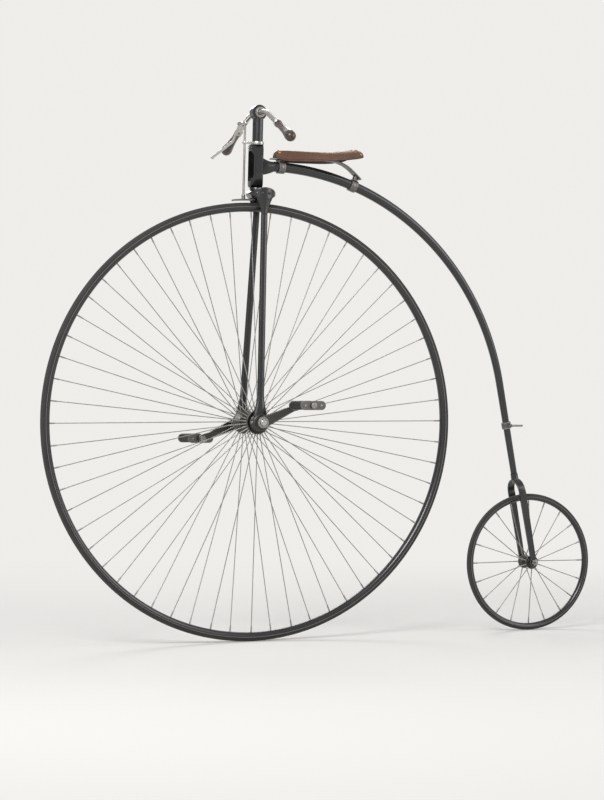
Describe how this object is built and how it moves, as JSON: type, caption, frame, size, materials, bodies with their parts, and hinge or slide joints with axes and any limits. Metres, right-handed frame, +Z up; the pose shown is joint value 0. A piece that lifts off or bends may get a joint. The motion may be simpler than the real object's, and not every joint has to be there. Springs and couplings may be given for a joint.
{
  "type": "penny farthing bicycle",
  "caption": "High wheel bicycle with a large spoked driving wheel, a small trailing wheel, a curved backbone, cow horn handlebar and leather saddle.",
  "frame": {"origin": "top of the saddle, in the middle plane of the bicycle, where a rider sits", "axes": "+X points rearwards from the big wheel to the small one, +Y to the rider's right along the axles, +Z up"},
  "size_m": [1.7464, 0.527, 1.5527],
  "materials": {
    "black_enamel": "semi_gloss",
    "bright_steel": "satin",
    "polished_steel": "polished",
    "pedal_rubber": "matte",
    "tyre_rubber": "matte",
    "saddle_leather": "satin",
    "dark_horn": "polished"
  },
  "bodies": {
    "frame": {"backbone": "black_enamel", "neck": "black_enamel", "rear_fork_crown": "black_enamel", "rear_fork_left": "black_enamel", "rear_fork_right": "black_enamel", "rear_axle": "bright_steel", "rear_axle_nuts": "bright_steel", "saddle_spring": "bright_steel", "saddle": "saddle_leather", "saddle_clip_front": "bright_steel", "saddle_clip_rear": "bright_steel", "mounting_step": "bright_steel"},
    "fork": {"fork_crown": "black_enamel", "head": "black_enamel", "head_collar": "bright_steel", "handlebar_column": "black_enamel", "handlebar": "polished_steel", "grip_left": "dark_horn", "grip_right": "dark_horn", "fork_blade_left": "black_enamel", "fork_blade_right": "black_enamel", "bearing_case_left": "bright_steel", "bearing_case_right": "bright_steel", "brake_lever": "polished_steel", "brake_bracket": "bright_steel", "brake_rod": "bright_steel", "brake_spoon": "bright_steel"},
    "front_wheel": {"front_tyre": "tyre_rubber", "front_rim": "black_enamel", "front_spokes": "bright_steel", "front_hub": "bright_steel", "front_axle": "bright_steel", "crank_left": "bright_steel", "crank_right": "bright_steel", "axle_nut_left": "bright_steel", "axle_nut_right": "bright_steel", "pedal_pin_left": "bright_steel", "pedal_pin_right": "bright_steel"},
    "pedal_left": {"pedal_left": "bright_steel", "pedal_rubbers_left": "pedal_rubber"},
    "pedal_right": {"pedal_right": "bright_steel", "pedal_rubbers_right": "pedal_rubber"},
    "rear_wheel": {"rear_tyre": "tyre_rubber", "rear_rim": "black_enamel", "rear_spokes": "bright_steel", "rear_hub": "bright_steel"}
  },
  "joints": [
    {"name": "steering", "type": "hinge", "parent": "frame", "child": "fork", "pos_m": [-0.21506, 0, -0.04797], "axis": [0.0262, 0, 0.9997], "range_deg": [-40, 40]},
    {"name": "front_wheel_spin", "type": "hinge", "parent": "fork", "child": "front_wheel", "pos_m": [-0.23444, 0, -0.78792], "axis": [0, 1, 0], "continuous": true},
    {"name": "rear_wheel_spin", "type": "hinge", "parent": "frame", "child": "rear_wheel", "pos_m": [0.67056, 0, -1.21642], "axis": [0, 1, 0], "continuous": true},
    {"name": "pedal_left_spin", "type": "hinge", "parent": "front_wheel", "child": "pedal_left", "pos_m": [-0.11938, -0.148, -0.73907], "axis": [0, 1, 0], "continuous": true},
    {"name": "pedal_right_spin", "type": "hinge", "parent": "front_wheel", "child": "pedal_right", "pos_m": [-0.3495, 0.148, -0.83676], "axis": [0, 1, 0], "continuous": true}
  ]
}
